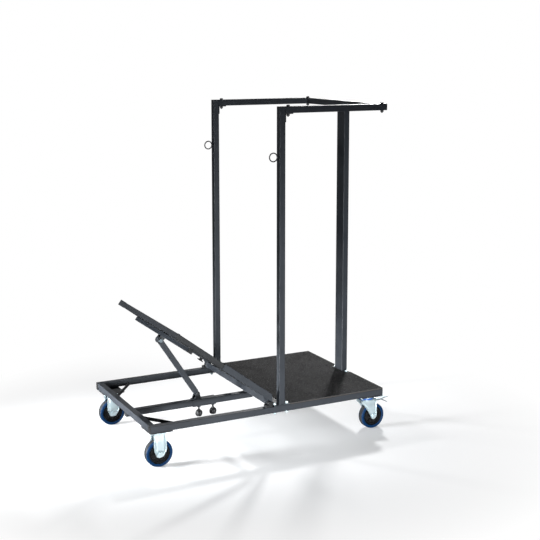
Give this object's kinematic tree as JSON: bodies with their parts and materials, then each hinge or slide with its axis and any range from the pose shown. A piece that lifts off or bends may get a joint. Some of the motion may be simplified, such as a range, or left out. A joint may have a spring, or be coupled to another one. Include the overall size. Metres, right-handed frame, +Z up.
{
  "type": "chair transport trolley",
  "caption": "Tube-frame platform trolley on castors: carpeted deck, posts with a push rail, and a sliding chair support that tilts on a prop and folds flat.",
  "frame": {"origin": "on the floor, under the middle of the overall length and width", "axes": "+X along the trolley towards the deck end, +Y towards the far side, +Z up"},
  "size_m": [1.264, 0.74, 1.5889],
  "materials": {
    "frame_paint": "satin anthracite powder coat",
    "dark_paint": "satin black powder coat",
    "zinc": "bright zinc plating",
    "black_plastic": "matte",
    "deck_board": "dark film-faced board",
    "carpet": "short needle felt, speckled",
    "blue_rubber": "elastic blue rubber with a grey tread",
    "hub_plastic": "dark grey nylon",
    "blue_plastic": "blue seal"
  },
  "bodies": {
    "frame": {"near_side_rail": "frame_paint", "far_side_rail": "frame_paint", "left_end_bar": "frame_paint", "right_end_bar": "frame_paint", "cross_bar": "frame_paint", "guide_rail": "frame_paint", "guide_hangers": "dark_paint", "tube_caps": "black_plastic", "corner_plates": "dark_paint", "corner_stays": "dark_paint", "deck_board": "deck_board", "deck_carpet": "carpet", "near_post": "frame_paint", "far_post": "frame_paint", "end_post": "frame_paint", "near_push_bar": "frame_paint", "far_push_bar": "frame_paint", "end_push_bar": "frame_paint", "push_bar_brackets": "dark_paint", "frame_bolts": "zinc", "strap_rings": "zinc", "hinge_blocks": "black_plastic", "castor_plates": "zinc", "castor_bolts": "zinc", "rigid_forks": "zinc", "rigid_axles": "zinc", "swivel_seals": "blue_plastic"},
    "near_rigid_wheel": {"near_rigid_tyre": "blue_rubber", "near_rigid_hub": "hub_plastic"},
    "far_rigid_wheel": {"far_rigid_tyre": "blue_rubber", "far_rigid_hub": "hub_plastic"},
    "near_swivel": {"near_swivel_fork": "zinc", "near_swivel_axle": "zinc"},
    "far_swivel": {"far_swivel_fork": "zinc", "far_swivel_axle": "zinc"},
    "near_swivel_wheel": {"near_swivel_tyre": "blue_rubber", "near_swivel_hub": "hub_plastic"},
    "far_swivel_wheel": {"far_swivel_tyre": "blue_rubber", "far_swivel_hub": "hub_plastic"},
    "near_pedal": {"near_brake_pedal": "zinc"},
    "far_pedal": {"far_brake_pedal": "zinc"},
    "support": {"support_hinge_tube": "frame_paint", "near_outer_tube": "frame_paint", "far_outer_tube": "frame_paint", "support_spine": "frame_paint", "support_cross_tube": "frame_paint", "cross_tube_caps": "black_plastic", "prop_lug": "dark_paint", "prop_bolt": "zinc"},
    "extension": {"near_slide_tube": "frame_paint", "far_slide_tube": "frame_paint", "support_top_bar": "frame_paint", "spine_core_bar": "frame_paint"},
    "extension_clamp": {"extension_knob": "black_plastic"},
    "prop": {"prop_strut": "frame_paint"},
    "sleeve": {"prop_sleeve": "frame_paint", "clevis_bolts": "dark_paint"},
    "left_clamp": {"left_clamp_knob": "black_plastic"},
    "right_clamp": {"right_clamp_knob": "black_plastic"}
  },
  "joints": [
    {"name": "near_rigid_spin", "type": "hinge", "parent": "frame", "child": "near_rigid_wheel", "pos_m": [-0.5695, -0.3125, 0.0625], "axis": [0, 1, 0], "continuous": true},
    {"name": "far_rigid_spin", "type": "hinge", "parent": "frame", "child": "far_rigid_wheel", "pos_m": [-0.5695, 0.3125, 0.0625], "axis": [0, 1, 0], "continuous": true},
    {"name": "near_castor_swivel", "type": "hinge", "parent": "frame", "child": "near_swivel", "pos_m": [0.513, -0.3125, 0.155], "axis": [0, 0, 1], "continuous": true},
    {"name": "far_castor_swivel", "type": "hinge", "parent": "frame", "child": "far_swivel", "pos_m": [0.513, 0.3125, 0.155], "axis": [0, 0, 1], "continuous": true},
    {"name": "near_swivel_spin", "type": "hinge", "parent": "near_swivel", "child": "near_swivel_wheel", "pos_m": [0.545, -0.3125, 0.0625], "axis": [0, 1, 0], "continuous": true},
    {"name": "far_swivel_spin", "type": "hinge", "parent": "far_swivel", "child": "far_swivel_wheel", "pos_m": [0.545, 0.3125, 0.0625], "axis": [0, 1, 0], "continuous": true},
    {"name": "near_brake_press", "type": "hinge", "parent": "near_swivel", "child": "near_pedal", "pos_m": [0.553, -0.3125, 0.141], "axis": [0, 1, 0], "range_deg": [0, 10]},
    {"name": "far_brake_press", "type": "hinge", "parent": "far_swivel", "child": "far_pedal", "pos_m": [0.553, 0.3125, 0.141], "axis": [0, 1, 0], "range_deg": [0, 10]},
    {"name": "support_tilt", "type": "hinge", "parent": "frame", "child": "support", "pos_m": [-0.035, 0, 0.22], "axis": [0, -1, 0], "range_deg": [-4, 36.8]},
    {"name": "extension_slide", "type": "slide", "parent": "support", "child": "extension", "axis": [-0.8007, 0, 0.599], "range_m": [0, 0.15]},
    {"name": "extension_clamp_turn", "type": "hinge", "parent": "support", "child": "extension_clamp", "pos_m": [-0.22557, 0, 0.36257], "axis": [-0.599, 0, -0.8007], "range_deg": [0, 360]},
    {"name": "prop_pivot", "type": "hinge", "parent": "support", "child": "prop", "pos_m": [-0.43512, 0, 0.48561], "axis": [0, -1, 0], "range_deg": [-2.5, 21.2]},
    {"name": "sleeve_slide", "type": "slide", "parent": "frame", "child": "sleeve", "axis": [1, 0, 0], "range_m": [-0.009, 0.077]},
    {"name": "left_clamp_turn", "type": "hinge", "parent": "sleeve", "child": "left_clamp", "pos_m": [-0.23676, 0, 0.1], "axis": [0, 0, -1], "range_deg": [0, 360]},
    {"name": "right_clamp_turn", "type": "hinge", "parent": "sleeve", "child": "right_clamp", "pos_m": [-0.16276, 0, 0.1], "axis": [0, 0, -1], "range_deg": [0, 360]}
  ],
  "couplings": [
    {"joint": "prop_pivot", "follows": "support_tilt", "ratio": 0.57},
    {"joint": "sleeve_slide", "follows": "support_tilt", "m_per_rad": 0.119}
  ]
}
